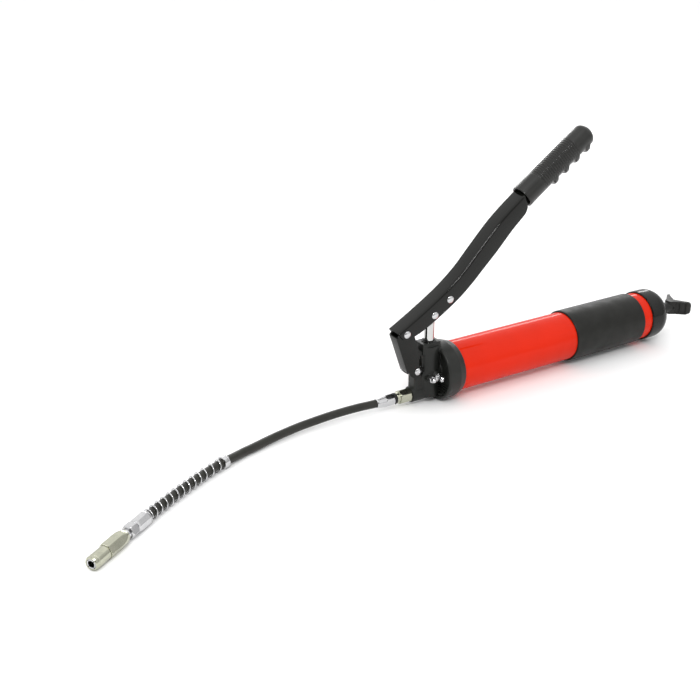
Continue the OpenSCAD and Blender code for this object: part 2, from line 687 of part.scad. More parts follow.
// The sleeve closes the jaws: its bore narrows to a cone at the mouth
module coupler_sleeve() color("#b9bba5") coupler_frame() difference() {
    translate([0, 0, coupler_split]) rotate_extrude() polygon([[0, 0], [sleeve_r, 0],
        [sleeve_r, coupler_sleeve_len - 1], [sleeve_r - 1, coupler_sleeve_len], [0, coupler_sleeve_len]]);
    translate([0, 0, coupler_split - 1]) cylinder(r = socket_r, h = 8);
    translate([0, 0, coupler_split + 6.9])
        cylinder(r1 = socket_r, r2 = 4.7, h = coupler_sleeve_len - 6.8);
}

// Four spring jaws around the mouth that snap over a grease nipple
module coupler_jaws() color("#cfcfd2") coupler_frame() difference() {
    translate([0, 0, coupler_split + 7.2])
        cylinder(r1 = 5.4, r2 = 4.55, h = coupler_end - coupler_split - 7.4);
    translate([0, 0, coupler_split]) cylinder(r = mouth_r, h = 40);
    for (turn = [0, 90]) rotate([0, 0, turn + 45])
        translate([-10, -0.4, coupler_split + 9]) cube([20, 0.8, 20]);
}

// Rubber seal that the nipple pushes against
module coupler_seal() color("#26261f") coupler_frame() difference() {
    translate([0, 0, coupler_split + 3]) cylinder(r = 3.2, h = 4.1);
    translate([0, 0, coupler_split]) cylinder(r = 1, h = 10);
}

module coupler_piston() color("#c4b070") coupler_frame() difference() {
    union() {
        translate([0, 0, coupler_split - 1]) cylinder(r = 3.9, h = 4);
        translate([0, 0, coupler_split - 5]) cylinder(r = 2.4, h = 5);
    }
    translate([0, 0, coupler_split - 6]) cylinder(r = 1, h = 10);
}

module coupler_spring() color("#a0a0a0") coupler_frame()
    translate([0, 0, chamber_x]) coil(3.2, 0.4, coupler_split - 1 - chamber_x, 5, 14);

// ---------- selection ----------

pump_head();
head_gasket();
barrel();
barrel_grip();
end_cap();
rod_bushing();
follower_cup();
follower_plate();
follower_nut();
follower_spring();
follower_rod();
rod_handle();
handle_pin();
plunger();
plunger_packing();
gland_ring();
link();
head_pin();
lever();
link_pin();
plunger_pin();
lever_rivet();
lever_spacer();
lever_grip();
outlet_adapter();
check_ball();
check_spring();
filler_nipple();
filler_ball();
bleeder_body();
bleeder_pin();
seal_washer();
head_ferrule();
hose();
spring_collar();
spring_guard();
coupler_ferrule();
coupler_nut();
coupler_body();
coupler_sleeve();
coupler_jaws();
coupler_seal();
coupler_piston();
coupler_spring();
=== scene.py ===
import math

import bmesh
import bpy
from mathutils import Matrix, Vector


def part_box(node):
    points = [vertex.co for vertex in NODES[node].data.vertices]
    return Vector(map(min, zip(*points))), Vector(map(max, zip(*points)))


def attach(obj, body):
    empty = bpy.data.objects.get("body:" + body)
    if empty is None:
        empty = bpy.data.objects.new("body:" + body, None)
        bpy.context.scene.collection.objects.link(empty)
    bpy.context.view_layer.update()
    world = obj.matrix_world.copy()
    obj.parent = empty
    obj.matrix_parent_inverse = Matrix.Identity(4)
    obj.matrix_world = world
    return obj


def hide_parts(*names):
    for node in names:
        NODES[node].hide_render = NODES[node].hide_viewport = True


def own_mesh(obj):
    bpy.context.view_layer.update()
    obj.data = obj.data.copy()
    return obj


# A hand lever grease gun with a whip hose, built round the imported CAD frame
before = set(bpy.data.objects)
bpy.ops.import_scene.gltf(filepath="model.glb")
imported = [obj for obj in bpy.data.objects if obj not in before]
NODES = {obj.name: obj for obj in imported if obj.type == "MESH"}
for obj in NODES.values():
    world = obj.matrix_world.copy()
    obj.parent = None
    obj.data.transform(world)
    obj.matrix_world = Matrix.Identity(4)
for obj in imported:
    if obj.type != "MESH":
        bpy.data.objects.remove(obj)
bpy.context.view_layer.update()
MM = 0.001

# The gun frame: X from the collar's rear face, Z from the barrel's axis, in millimetres
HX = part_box("pump_head")[1][0]
HZ = (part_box("barrel")[0][2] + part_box("barrel")[1][2]) / 2


# ---------------------------------------------------------------- materials

class Shader:
    """A Principled material and the few node chains that the pieces share."""

    def __init__(self, name, base, rough, metallic=0.0, coat=0.0, coat_rough=0.1, specular=0.5):
        self.mat = bpy.data.materials.new(name)
        self.mat.use_nodes = True
        self.nodes, self.links = self.mat.node_tree.nodes, self.mat.node_tree.links
        self.bsdf = self.nodes["Principled BSDF"]
        self.bsdf.inputs["Base Color"].default_value = (*base, 1)
        self.bsdf.inputs["Roughness"].default_value = rough
        self.bsdf.inputs["Metallic"].default_value = metallic
        self.bsdf.inputs["Coat Weight"].default_value = coat
        self.bsdf.inputs["Coat Roughness"].default_value = coat_rough
        self.bsdf.inputs["Specular IOR Level"].default_value = specular
        self.base, self.rough = base, rough

    def coords(self, scale):
        """Object coordinates, in metres, scaled along each axis."""
        coord = self.nodes.new("ShaderNodeTexCoord")
        mapping = self.nodes.new("ShaderNodeMapping")
        mapping.inputs["Scale"].default_value = scale
        self.links.new(coord.outputs["Object"], mapping.inputs["Vector"])
        return mapping.outputs["Vector"]

    def noise(self, scale, detail, stretch=(1, 1, 1)):
        """Noise in object space. Its values crowd round 0.5, mostly from 0.3 to 0.7."""
        node = self.nodes.new("ShaderNodeTexNoise")
        node.inputs["Scale"].default_value = scale
        node.inputs["Detail"].default_value = detail
        self.links.new(self.coords(stretch), node.inputs["Vector"])
        return node.outputs["Fac"]

    def remap(self, value, low, high, start, end):
        """Start to end of value becomes low to high."""
        node = self.nodes.new("ShaderNodeMapRange")
        node.inputs["From Min"].default_value = start
        node.inputs["From Max"].default_value = end
        node.inputs["To Min"].default_value = low
        node.inputs["To Max"].default_value = high
        self.links.new(value, node.inputs["Value"])
        return node.outputs["Result"]

    def rough_by(self, value, spread):
        """The roughness drifts by spread either way."""
        smoothest = max(0.02, self.rough - spread)
        out = self.remap(value, smoothest, self.rough + spread, start=0.3, end=0.7)
        self.links.new(out, self.bsdf.inputs["Roughness"])

    def colour_by(self, value, other):
        """The colour drifts between the base and another."""
        node = self.nodes.new("ShaderNodeMix")
        node.data_type = "RGBA"
        node.inputs["A"].default_value = (*self.base, 1)
        node.inputs["B"].default_value = (*other, 1)
        self.links.new(self.remap(value, 0, 1, start=0.35, end=0.65), node.inputs["Factor"])
        self.links.new(node.outputs["Result"], self.bsdf.inputs["Base Color"])

    def bump_by(self, value, strength, distance):
        """A fine relief, at most distance metres deep."""
        node = self.nodes.new("ShaderNodeBump")
        node.inputs["Strength"].default_value = strength
        node.inputs["Distance"].default_value = distance
        self.links.new(value, node.inputs["Height"])
        self.links.new(node.outputs["Normal"], self.bsdf.inputs["Normal"])


def enamel(name, base, rough, coat, coat_rough, orange_peel):
    """Sprayed paint: a faint orange peel, uneven gloss and a slow drift of tone."""
    s = Shader(name, base, rough, coat=coat, coat_rough=coat_rough, specular=0.02)
    s.rough_by(s.noise(60, 4), 0.05)
    s.colour_by(s.noise(14, 2), tuple(c * 0.9 for c in base))
    s.bump_by(s.noise(1500, 2), orange_peel, 0.00004)
    return s.mat


def casting(name, base, rough):
    """Painted zinc casting: the sand-like skin shows through the paint."""
    s = Shader(name, base, rough, coat=0.2, coat_rough=0.25, specular=0.2)
    s.rough_by(s.noise(120, 5), 0.08)
    s.colour_by(s.noise(40, 4), tuple(c * 1.35 for c in base))
    s.bump_by(s.noise(900, 5), 0.35, 0.00012)
    return s.mat


def rubber(name, base, rough, grain=1400, depth=0.00006, coat=0.0):
    """Moulded rubber: matt, finely grained, slightly dusty in patches."""
    s = Shader(name, base, rough, coat=coat, coat_rough=0.12, specular=0.25)
    s.rough_by(s.noise(90, 4), 0.07)
    s.colour_by(s.noise(55, 5), tuple(c * 1.3 + 0.002 for c in base))
    s.bump_by(s.noise(grain, 4), 0.4, depth)
    return s.mat


def plated(name, base, rough, other, stretch=(1, 1, 1), lines=0.25):
    """Plated steel: turning lines, a cloudy passivation and uneven polish."""
    s = Shader(name, base, rough, metallic=1.0)
    s.rough_by(s.noise(260, 5), 0.05)
    s.colour_by(s.noise(120, 3), other)
    s.bump_by(s.noise(420, 3, stretch), lines, 0.00003)
    return s.mat


RED = enamel("red_enamel", (0.68, 0.017, 0.0003), 0.45, coat=0.3, coat_rough=0.045, orange_peel=0.015)
BLACK = enamel("black_enamel", (0.0045, 0.0047, 0.0037), 0.42, coat=0.5, coat_rough=0.07, orange_peel=0.03)
CAST = casting("black_casting", (0.009, 0.0098, 0.0085), 0.5)
RUBBER = rubber("grip_rubber", (0.0065, 0.0066, 0.0052), 0.48)
GRIP = rubber("grip_moulding", (0.0065, 0.0067, 0.0055), 0.4, grain=2400, depth=0.00002, coat=0.4)
HOSE = rubber("hose_rubber", (0.015, 0.015, 0.012), 0.38, grain=900, depth=0.00005, coat=0.1)
PLASTIC = rubber("black_plastic", (0.014, 0.014, 0.013), 0.4, grain=2200, depth=0.00003)
SEAL = rubber("seal_rubber", (0.010, 0.010, 0.010), 0.45)
PACKING = rubber("packing_fibre", (0.12, 0.08, 0.04), 0.8, grain=500, depth=0.0002)
ZINC = plated("bright_zinc", (0.58, 0.58, 0.585), 0.15, other=(0.53, 0.53, 0.54))
YELLOW = plated("yellow_zinc", (0.48, 0.48, 0.385), 0.19, other=(0.42, 0.425, 0.34))
CHROME = plated("hard_chrome", (0.56, 0.56, 0.55), 0.1, other=(0.52, 0.52, 0.515),
                stretch=(1, 1, 0.02), lines=0.1)
SPRING = plated("spring_steel", (0.45, 0.45, 0.46), 0.35, other=(0.405, 0.405, 0.414))
BRASS = plated("sintered_brass", (0.62, 0.46, 0.20), 0.42, other=(0.52, 0.38, 0.18))


# ---------------------------------------------------------------- mesh tools

def fillet(points, steps=5):
    """A profile of (r, a) points, in which a third number rounds that corner to its radius."""
    out, n = [], len(points)
    for i, p in enumerate(points):
        if len(p) == 2:
            out.append(p)
            continue
        here = Vector(p[:2])
        before = Vector(points[i - 1][:2]) - here
        after = Vector(points[(i + 1) % n][:2]) - here
        # The curve starts short of half way along either side, so that corners never meet
        side = 0.49 * min(before.length, after.length)
        back = min(p[2] / math.tan(before.angle(after) / 2), side)
        start, end = here + before.normalized() * back, here + after.normalized() * back
        for k in range(steps + 1):
            t = k / steps
            out.append(tuple((1 - t) ** 2 * start + 2 * t * (1 - t) * here + t * t * end))
    return out


def finish_mesh(name, verts, faces, mat, sharp=35, matrix=None, bevel=0.0):
    """A shaded object. Edges of more than sharp degrees stay crisp, or get a bevel in metres."""
    mesh = bpy.data.meshes.new(name)
    mesh.from_pydata([tuple(v) for v in verts], [], faces)
    if matrix:
        mesh.transform(matrix)
    work = bmesh.new()
    work.from_mesh(mesh)
    bmesh.ops.remove_doubles(work, verts=work.verts, dist=1e-7)
    bmesh.ops.recalc_face_normals(work, faces=work.faces)
    if bevel:
        crisp = [e for e in work.edges
                 if len(e.link_faces) == 2 and e.calc_face_angle(0) > math.radians(sharp)]
        bmesh.ops.bevel(work, geom=crisp, offset=bevel, segments=2, affect="EDGES", profile=0.6,
                        clamp_overlap=True)
    work.to_mesh(mesh)
    work.free()
    mesh.materials.append(mat)
    mesh.polygons.foreach_set("use_smooth", [True] * len(mesh.polygons))
    mesh.set_sharp_from_angle(angle=math.radians(sharp))
    obj = bpy.data.objects.new(name, mesh)
    bpy.context.scene.collection.objects.link(obj)
    return obj


def lathe(profile, segs=96, flats=None):
    """(verts, faces) of a profile turned about Z, in metres. Its ends join if it misses the axis.
    flats = (sides, apothem, phase, low, high): from low to high, a prism limits the radius."""
    verts, faces, rings = [], [], []
    near = 1e-6
    for r, a in profile:
        if r < near:
            rings.append([len(verts)])
            verts.append((0, 0, a * MM))
            continue
        ring = []
        for k in range(segs):
            t = 2 * math.pi * k / segs
            radius = r
            if flats and flats[3] - near <= a <= flats[4] + near:
                sides, apothem, phase = flats[:3]
                step = 2 * math.pi / sides
                off = (t - phase + step / 2) % step - step / 2
                radius = min(r, apothem / math.cos(off))
            ring.append(len(verts))
            verts.append((radius * math.cos(t) * MM, radius * math.sin(t) * MM, a * MM))
        rings.append(ring)
    closed = all(len(ring) > 1 for ring in rings)
    for i in range(len(rings) if closed else len(rings) - 1):
        a, b = rings[i], rings[(i + 1) % len(rings)]
        for k in range(segs):
            j = (k + 1) % segs
            if len(a) == 1 and len(b) == 1:
                continue
            if len(a) == 1:
                faces.append((a[0], b[k], b[j]))
            elif len(b) == 1:
                faces.append((a[k], b[0], a[j]))
            else:
                faces.append((a[k], b[k], b[j], a[j]))
    return verts, faces


def axis_matrix(origin, direction):
    """Local Z along direction, from origin."""
    turn = Vector((0, 0, 1)).rotation_difference(Vector(direction)).to_matrix().to_4x4()
    return Matrix.Translation(origin) @ turn


def along(origin, direction):
    """Local Z along direction, local X level: for hexagons with a flat on the bench."""
    z = Vector(direction).normalized()
    x = Vector((0, 0, 1)).cross(z).normalized()
    y = z.cross(x)
    m = Matrix((x, y, z)).transposed().to_4x4()
    return Matrix.Translation(origin) @ m


def gun(x, y, z):
    """A point of the gun frame, in the scene's metres."""
    return Vector((HX + x * MM, y * MM, HZ + z * MM))


def keep(obj, body, *nodes, slot=None):
    """Let a piece ride on its body, in place of the CAD nodes that it stands for."""
    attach(obj, body)
    if nodes:
        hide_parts(*nodes)
    return obj


def turned(name, profile, matrix, mat, body, *nodes, slot=None, segs=96, flats=None, sharp=35):
    """A finished lathe piece, from a profile in mm."""
    v, f = lathe(fillet(profile), segs, flats)
    return keep(finish_mesh(name, v, f, mat, sharp, matrix), body, *nodes, slot=slot)


def smooth(points, n):
    """Catmull-Rom curve through the points, n steps to a span, as the CAD draws it."""
    out = []
    for i in range(len(points) - 1):
        a, b = points[max(i - 1, 0)], points[i]
        c, d = points[i + 1], points[min(i + 2, len(points) - 1)]
        for k in range(n):
            t = k / n
            out.append(b + t * ((c - a) / 2 + t * ((2 * a - 5 * b + 4 * c - d) / 2
                                                   + t * (3 * b - a - 3 * c + d) / 2)))
    return out + [points[-1]]


def tube(path, radius, segs):
    """(verts, faces) of a round wire along a 3-D path, with flat ends."""
    verts, faces, normal = [], [], None
    n = len(path)
    for i, p in enumerate(path):
        t = (path[min(i + 1, n - 1)] - path[max(i - 1, 0)]).normalized()
        if normal is None:
            normal = t.orthogonal().normalized()
        normal = (normal - t * normal.dot(t)).normalized()
        other = t.cross(normal)
        for k in range(segs):
            a = 2 * math.pi * k / segs
            verts.append(p + radius * (math.cos(a) * normal + math.sin(a) * other))
    for i in range(n - 1):
        for k in range(segs):
            j = (k + 1) % segs
            faces.append((i * segs + k, (i + 1) * segs + k, (i + 1) * segs + j, i * segs + j))
    faces.append(tuple(range(segs)))
    faces.append(tuple((n - 1) * segs + k for k in reversed(range(segs))))
    return verts, faces


def plate(outline, y0, y1):
    """(verts, faces) of a flat plate between two Y values, its outline in the gun's X-Z plane, in mm."""
    n = len(outline)
    verts = [gun(x, y0, z) for x, z in outline] + [gun(x, y1, z) for x, z in outline]
    faces = [tuple(range(n)), tuple(range(2 * n - 1, n - 1, -1))]
    faces += [(i, (i + 1) % n, n + (i + 1) % n, n + i) for i in range(n)]
    return verts, faces


def joined(*parts):
    """Several (verts, faces) as one."""
    verts, faces = [], []
    for v, f in parts:
        base = len(verts)
        verts += list(v)
        faces += [tuple(i + base for i in face) for face in f]
    return verts, faces


def resample(points, n):
    """n + 1 points evenly spaced along a polyline."""
    lengths = [0.0]
    for a, b in zip(points, points[1:]):
        lengths.append(lengths[-1] + (b - a).length)
    out, i = [], 0
    for k in range(n + 1):
        want = lengths[-1] * k / n
        while i < len(points) - 2 and lengths[i + 1] < want:
            i += 1
        span = lengths[i + 1] - lengths[i] or 1
        out.append(points[i] + (points[i + 1] - points[i]) * ((want - lengths[i]) / span))
    return out


def channel(edge, open_edge, half, thick, bend, steps=6):
    """(verts, faces) of a pressed channel: its web runs along edge, its two sides reach open_edge.
    Both are lists of 2-D points in the gun's X-Z plane, station by station."""
    verts, faces = [], []
    inner = max(bend - thick, 0.3)
    half_size = 2 * (steps + 2)
    size = 2 * half_size
    for top, low in zip(edge, open_edge):
        up = (top - low).normalized()
        outer = [(-half, low), (-half, top - bend * up)]
        for k in range(1, steps + 1):
            a = math.pi / 2 * k / steps
            outer.append((-half + bend * (1 - math.cos(a)), top - bend * (1 - math.sin(a)) * up))
        outer += [(-y, p) for y, p in reversed(outer)]
        inside = [(-half + thick, low), (-half + thick, top - (thick + inner) * up)]
        for k in range(1, steps + 1):
            a = math.pi / 2 * k / steps
            inside.append((-half + thick + inner * (1 - math.cos(a)),
                           top - (thick + inner * (1 - math.sin(a))) * up))
        inside += [(-y, p) for y, p in reversed(inside)]
        verts += [gun(p[0], y, p[1]) for y, p in outer + inside[::-1]]
    for i in range(len(edge) - 1):
        for k in range(size):
            j = (k + 1) % size
            faces.append((i * size + k, (i + 1) * size + k, (i + 1) * size + j, i * size + j))
    for start in (0, (len(edge) - 1) * size):
        end = start + size - 1
        for k in range(half_size - 1):
            faces.append((start + k, start + k + 1, end - 1 - k, end - k))
    return verts, faces


def softened(name, node, voxel, passes, mat, body, *nodes, slot=None):
    """A copy of a CAD node remeshed and smoothed, so that it has a casting's fillets."""
    mesh = NODES[node].data.copy()
    mesh.name = name
    obj = bpy.data.objects.new(name, mesh)
    bpy.context.scene.collection.objects.link(obj)
    obj.matrix_world = NODES[node].matrix_world.copy()
    remesh = obj.modifiers.new("remesh", "REMESH")
    remesh.mode, remesh.voxel_size, remesh.use_smooth_shade = "VOXEL", voxel, True
    relax = obj.modifiers.new("relax", "SMOOTH")
    relax.factor, relax.iterations = 0.5, passes
    bpy.context.view_layer.update()
    done = bpy.data.meshes.new_from_object(obj.evaluated_get(bpy.context.evaluated_depsgraph_get()))
    done.transform(obj.matrix_world)
    obj.modifiers.clear()
    obj.data = done
    obj.matrix_world = Matrix.Identity(4)
    done.materials.clear()
    done.materials.append(mat)
    done.polygons.foreach_set("use_smooth", [True] * len(done.polygons))
    return keep(obj, body, node, *nodes, slot=slot)


# ---------------------------------------------------------------- camera, floor and light

def camera():
    """The photographer's place and view, as the camera fit gave them in the gun frame."""
    sensor, focal_to_width = 36.0, 1100 / 700
    data = bpy.data.cameras.new("camera")
    data.sensor_fit, data.sensor_width, data.lens = "HORIZONTAL", sensor, sensor * focal_to_width
    cam = bpy.data.objects.new("camera", data)
    place = gun(-679.8, -892.6, 518.0)
    right = Vector((0.8522, -0.5232, 0))
    up = Vector((0.2133, 0.3474, 0.9132))
    ahead = Vector((0.4778, 0.7782, -0.4077))
    turn = Matrix((right, up, -ahead)).transposed().to_4x4()
    cam.matrix_world = Matrix.Translation(place) @ turn
    bpy.context.scene.collection.objects.link(cam)
    bpy.context.scene.camera = cam


def area_light(name, place, target, size, power):
    data = bpy.data.lights.new(name, "AREA")
    data.shape, data.energy = "RECTANGLE", power
    data.size, data.size_y = size
    obj = bpy.data.objects.new(name, data)
    obj.location = place
    obj.rotation_euler = (Vector(target) - Vector(place)).to_track_quat("-Z", "Y").to_euler()
    bpy.context.scene.collection.objects.link(obj)


def pale_floor():
    paint = Shader("floor", (0.95, 0.95, 0.95), 0.75, specular=0.2)
    paint.colour_by(paint.noise(3, 2), (0.94, 0.94, 0.94))
    far = 14
    corners = [(-far, -far, 0), (far, -far, 0), (far, far, 0), (-far, far, 0)]
    finish_mesh("floor", corners, [(0, 1, 2, 3)], paint.mat)


def tent_light(nodes, links, generated):
    """A tent of soft light: dimmer at the bench, with one dark seam between two of its panels."""
    stops = ((0.0, 0.62), (0.18, 0.8), (0.45, 1.0), (0.83, 1.12), (0.845, 0.3), (0.87, 0.3),
             (0.885, 1.15), (1.0, 1.15))
    split = nodes.new("ShaderNodeSeparateXYZ")
    ramp = nodes.new("ShaderNodeValToRGB")
    while len(ramp.color_ramp.elements) < len(stops):
        ramp.color_ramp.elements.new(0.5)
    for element, (height, level) in zip(ramp.color_ramp.elements, stops):
        element.position, element.color = height, (level, level, level, 1)
    links.new(generated, split.inputs["Vector"])
    links.new(split.outputs["Z"], ramp.inputs["Fac"])
    return ramp.outputs["Color"]


def dark_card(nodes, links, generated, level, centre, edge, core, share):
    """Lower the light to a share of itself round one direction, so that plating has its shadows.
    Edge and core are the cosines where the card starts and where it is full."""
    facing, shade = nodes.new("ShaderNodeVectorMath"), nodes.new("ShaderNodeVectorMath")
    card = nodes.new("ShaderNodeMapRange")
    facing.operation, shade.operation, card.interpolation_type = "DOT_PRODUCT", "MULTIPLY", "SMOOTHSTEP"
    facing.inputs[1].default_value = centre
    for socket, value in (("From Min", edge), ("From Max", core), ("To Min", 1.0), ("To Max", share)):
        card.inputs[socket].default_value = value
    links.new(generated, facing.inputs[0])
    links.new(facing.outputs["Value"], card.inputs["Value"])
    links.new(level, shade.inputs[0])
    links.new(card.outputs["Result"], shade.inputs[1])
    return shade.outputs["Vector"]


def studio():
    pale_floor()
    world = bpy.data.worlds.new("studio")
    bpy.context.scene.world = world
    world.use_nodes = True
    nodes, links = world.node_tree.nodes, world.node_tree.links
    generated = nodes.new("ShaderNodeTexCoord").outputs["Generated"]
    level = tent_light(nodes, links, generated)
    behind_photographer, beyond_cap = (-0.45, -0.78, 0.43), (0.96, -0.2, 0.2)
    level = dark_card(nodes, links, generated, level, behind_photographer, 0.80, 0.93, 0.16)
    level = dark_card(nodes, links, generated, level, beyond_cap, 0.84, 0.93, 0.7)
    links.new(level, nodes["Background"].inputs["Color"])
    nodes["Background"].inputs["Strength"].default_value = 1.2
    area_light("key", (-0.6, -0.5, 1.6), (0, 0, 0), (1.4, 1.0), 1.5)
    area_light("back", (0.85, 1.5, 0.68), (0, 0, 0.05), (1.6, 0.22), 9)
    area_light("strip", (-0.85, -1.03, 1.29), (0, 0, 0.1), (0.9, 0.035), 12)
    bpy.context.scene.view_settings.view_transform = "Standard"


camera()
studio()


# ---------------------------------------------------------------- hose and coupler

# The hose's centre line: X from the collar, Z from the bench, in mm
ROUTE = [Vector((HX / MM + x, y, z)) for x, y, z in (
    (-88.4, 0, 12), (-101.4, 0.3, 12), (-117.9, 2, 12), (-135.9, 3.5, 11.3), (-153.9, 4.5, 10.3),
    (-171.9, 4.5, 9.2), (-190.9, 4, 8), (-209.4, 2, 6.9), (-228.4, -1, 5.9), (-248.4, -6, 5.3),
    (-262.4, -9.5, 5.3), (-275.4, -14, 5.6), (-287.4, -18.5, 6.4), (-299.9, -23.8, 6.9),
    (-316.9, -31.5, 7), (-330.4, -38.2, 7), (-343.9, -45.2, 7), (-356.9, -52.2, 7),
    (-369.9, -59.6, 7), (-381.9, -66.6, 7), (-392.8, -73.6, 7), (-401.2, -79.1, 7))]
SPAN_STEPS = 6
FINE = smooth(ROUTE, SPAN_STEPS)
HOSE_R = 4.5
# The guard's start and end count spans of the route
GUARD_START, GUARD_END, GUARD_TURNS, WIRE = 12.45, 19.9, 13, 1.4
# The coupler's crimp grips the last 10 mm of the hose
COUPLER_AXIS = (ROUTE[-1] - ROUTE[-2]).normalized()
COUPLER = along((ROUTE[-1] - COUPLER_AXIS * 10) * MM, COUPLER_AXIS)
# The phase that lays a hexagon's flat on the bench
LEVEL = math.pi / 2


def hose():
    data = bpy.data.curves.new("hose_rubber", "CURVE")
    data.dimensions, data.bevel_depth, data.bevel_resolution = "3D", HOSE_R * MM, 8
    data.use_fill_caps, data.resolution_u = True, 10
    spline = data.splines.new("BEZIER")
    spline.bezier_points.add(len(ROUTE) - 1)
    for i, point in enumerate(spline.bezier_points):
        p = ROUTE[i]
        step = (ROUTE[min(i + 1, len(ROUTE) - 1)] - ROUTE[max(i - 1, 0)]) / 6
        point.co = p * MM
        point.handle_left, point.handle_right = (p - step) * MM, (p + step) * MM
    obj = bpy.data.objects.new("hose_rubber", data)
    bpy.context.scene.collection.objects.link(obj)
    data.materials.append(HOSE)
    return keep(obj, "gun", "hose", slot="black_rubber")


def route_at(u):
    """A point of the route, u fine steps from its start."""
    i = min(int(u), len(FINE) - 2)
    return FINE[i] + (FINE[i + 1] - FINE[i]) * (u - i)


def route_dir(u):
    return (route_at(min(u + 1, len(FINE) - 1)) - route_at(max(u - 1, 0))).normalized()


def spring_guard():
    path, steps = [], 28
    n = GUARD_TURNS * steps
    r = HOSE_R + 0.5 + WIRE / 2
    for i in range(n + 1):
        u = (GUARD_START + (GUARD_END - GUARD_START) * i / n) * SPAN_STEPS
        t = route_dir(u)
        side = Vector((0, 0, 1)).cross(t).normalized()
        up = t.cross(side)
        a = 2 * math.pi * i / steps
        path.append((route_at(u) + r * (math.cos(a) * side - math.sin(a) * up)) * MM)
    v, f = tube(path, WIRE / 2 * MM, 10)
    return keep(finish_mesh("guard_wire", v, f, ZINC, 60), "gun", "spring_guard", slot="bright_steel")


def spring_collar():
    u = GUARD_START * SPAN_STEPS
    bore = HOSE_R + 0.15
    profile = [(bore, -6), (6.2, -6, 0.4), (6.65, -5.3, 0.4), (6.65, -3.6, 0.2), (6.3, -3.4),
               (6.3, -2.9), (6.65, -2.7, 0.2), (6.65, 0.4, 0.4), (6.0, 1, 0.2), (bore, 1)]
    return turned("collar_ring", profile, axis_matrix(route_at(u) * MM, route_dir(u)), ZINC, "gun",
                  "spring_collar", slot="bright_steel")


def coupler():
    """The coupler's pieces, hose end first, as profiles along its axis."""
    out = []
    crimp = [(HOSE_R, 0), (6.1, 0, 0.2), (6.4, 0.5, 0.2), (6.4, 1.6), (6.0, 1.7), (6.0, 2.2), (6.7, 2.3),
             (7.3, 3.0), (7.36, 3.4), (7.36, 16.8), (7.2, 17.6), (6.5, 19.4, 0.3), (5.6, 20, 0.2), (2.5, 20),
             (2.5, 10), (HOSE_R, 10)]
    out.append(turned("coupler_crimp", crimp, COUPLER, ZINC, "gun", "coupler_ferrule", slot="bright_steel",
                      segs=128, flats=(8, 6.8, 0, 2.25, 19.3), sharp=28))
    nut = [(1.6, 19), (4.8, 19), (4.8, 20), (6.0, 20, 0.2), (6.7, 20.5), (7.4, 21.2), (7.5, 21.6), (7.5, 28),
           (7.3, 28.6), (6.6, 29.5), (5.9, 30, 0.2), (4.8, 30), (4.8, 41.5), (1.6, 41.5)]
    out.append(turned("coupler_hexagon", nut, COUPLER, ZINC, "gun", "coupler_nut", slot="bright_steel",
                      flats=(6, 6.5, LEVEL, 20.4, 29.6), sharp=28))
    body = [(1.6, 40.5), (4.8, 40.5), (4.8, 33.5), (5.9, 33.5, 0.3), (6.25, 34.4)]
    body += [(6.25 + 1.75 * math.sin(math.pi / 2 * k / 8), 34.4 + 10.1 * k / 8) for k in range(1, 9)]
    body += [(8.0, 60.6), (7.8, 61.4), (7.2, 61.9, 0.2), (5.6, 62), (5.6, 69), (4, 69), (4, 45.5),
             (1.6, 45.5)]
    out.append(turned("coupler_barrel", body, COUPLER, YELLOW, "gun", "coupler_body", slot="yellow_zinc",
                      flats=(6, 7.0, LEVEL, 34, 61.8), sharp=24))
    sleeve = [(5.6, 62.02), (6.5, 62.02, 0.2), (6.8, 62.5, 0.2), (6.8, 76.2, 0.2), (6.55, 76.6), (6.55, 77.2),
              (6.8, 77.6, 0.2), (6.8, 80.2, 0.5), (5.9, 81.5, 0.4), (4.9, 81.5, 0.2), (4.72, 81), (5.6, 68.9)]
    out.append(turned("coupler_shell", sleeve, COUPLER, YELLOW, "gun", "coupler_sleeve", slot="yellow_zinc"))
    return out


rubber_hose = hose()
on_hose = [spring_guard(), spring_collar()] + coupler()
on_hose += [NODES[n] for n in ("coupler_jaws", "coupler_seal", "coupler_piston", "coupler_spring")]


# ---------------------------------------------------------------- outlet

OUTLET = along(gun(-55.5, 0, -21), (-1, 0, 0))


def outlet():
    hexagon = [(2, 17), (2, -8.5), (4.9, -8.5, 0.2), (5.2, -8, 0.2), (5.2, 0), (6.6, 0.02, 0.2), (7.4, 0.6),
               (8.2, 1.4), (8.3, 1.8), (8.3, 12.9), (8.1, 13.4), (7.4, 14.2), (6.6, 14.5, 0.2), (6.2, 14.5),
               (6.2, 18.2, 0.3), (3.5, 18.5), (3.5, 17)]
    turned("adapter_hexagon", hexagon, OUTLET, YELLOW, "gun", "outlet_adapter", slot="yellow_zinc",
           flats=(6, 7.25, 0, 0.5, 14.3), sharp=28)
    washer = [(3.5, 18.5), (6.1, 18.5, 0.5), (6.4, 20, 0.5), (6.1, 21.5, 0.5), (3.5, 21.5)]
    turned("ferrule_washer", washer, OUTLET, SEAL, "gun", "seal_washer", slot="black_rubber")
    ferrule = [(1.6, 11.5), (3.5, 11.5, 0.3), (3.5, 21.5), (5.6, 21.5, 0.2), (6.3, 22.1), (7.05, 22.9),
               (7.1, 23.3), (7.1, 31.2), (6.9, 31.7), (6.5, 32.5, 0.3), (6.5, 33.6, 0.4), (6.1, 36, 0.3),
               (5.8, 38.5, 0.3), (5.4, 42.2, 0.4), (5.1, 43.3, 0.3), (4.9, 43.5, 0.1), (4.5, 43.5),
               (4.5, 32.5), (1.6, 32.5)]
    turned("head_end_crimp", ferrule, OUTLET, ZINC, "gun", "head_ferrule", slot="bright_steel",
           flats=(6, 6.25, 0, 21.9, 32.2), sharp=28)


outlet()


# ---------------------------------------------------------------- reservoir

BARREL = axis_matrix(gun(0, 0, 0), (1, 0, 0))
BARREL_R, BARREL_IN, LENGTH = 28.5, 27.1, 284.5
